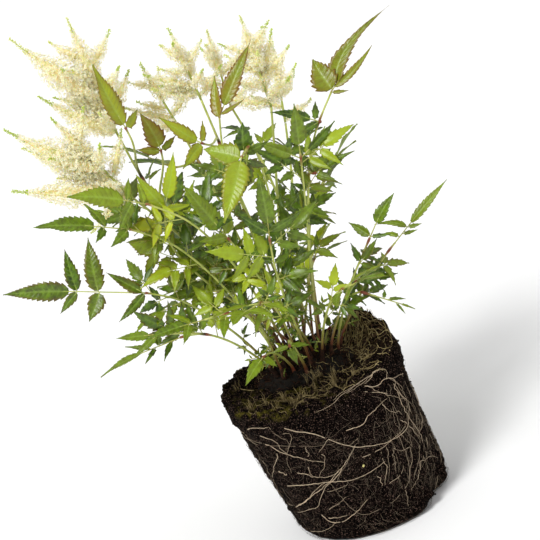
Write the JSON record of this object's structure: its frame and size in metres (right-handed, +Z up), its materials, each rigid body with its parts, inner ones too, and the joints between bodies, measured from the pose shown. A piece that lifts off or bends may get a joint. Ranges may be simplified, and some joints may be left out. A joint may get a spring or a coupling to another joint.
{
  "type": "astilbe plant",
  "caption": "Young white astilbe lifted out of its nursery pot: root ball of dark soil and fine roots, compound saw-edged leaves and feathery cream panicles on slender stalks.",
  "frame": {"origin": "middle of the flat base of the root ball", "axes": "+Z up, along the growth of the plant; -Y is the side that the picture shows; +X is to its right"},
  "size_m": [0.3675, 0.3105, 0.475],
  "materials": {
    "soil": "matte",
    "crown": "matte",
    "root": "matte",
    "stalk": "satin",
    "leaf": "satin",
    "floret": "matte"
  },
  "bodies": {
    "root": {"root_ball": "soil", "root_net_front": "root", "root_net_back": "root", "crown": "crown", "plume_head_a": "floret", "plume_head_b": "floret", "plume_head_c": "floret", "plume_head_d": "floret", "plume_head_e": "floret", "plume_head_f": "floret", "plume_head_g": "floret", "plume_stalk_a": "stalk", "plume_stalk_b": "stalk", "plume_stalk_c": "stalk", "plume_stalk_d": "stalk", "plume_stalk_e": "stalk", "plume_stalk_f": "stalk", "plume_stalk_g": "stalk", "leaf_far_left": "leaf", "leaf_left_long": "leaf", "leaf_left_upper": "leaf", "leaf_low_left": "leaf", "leaf_mid_left": "leaf", "leaf_low_mid": "leaf", "leaf_left_inner": "leaf", "leaf_bronze": "leaf", "leaf_front_high": "leaf", "leaf_top_right": "leaf", "leaf_right_long": "leaf", "leaf_right_mid": "leaf", "leaf_right_low": "leaf", "leaf_mid_right": "leaf", "leaf_centre_right": "leaf", "leaf_centre": "leaf", "leaf_centre_left": "leaf", "leaf_mid_low": "leaf", "leaf_front_mid": "leaf", "leaf_front_right": "leaf", "leaf_front_basal": "leaf", "leaf_left_basal": "leaf", "leaf_right_basal": "leaf", "leaf_back_left": "leaf", "leaf_back_mid": "leaf", "leaf_back_right": "leaf", "leaf_back_low_left": "leaf", "leaf_back_low_right": "leaf"}
  },
  "joints": []
}
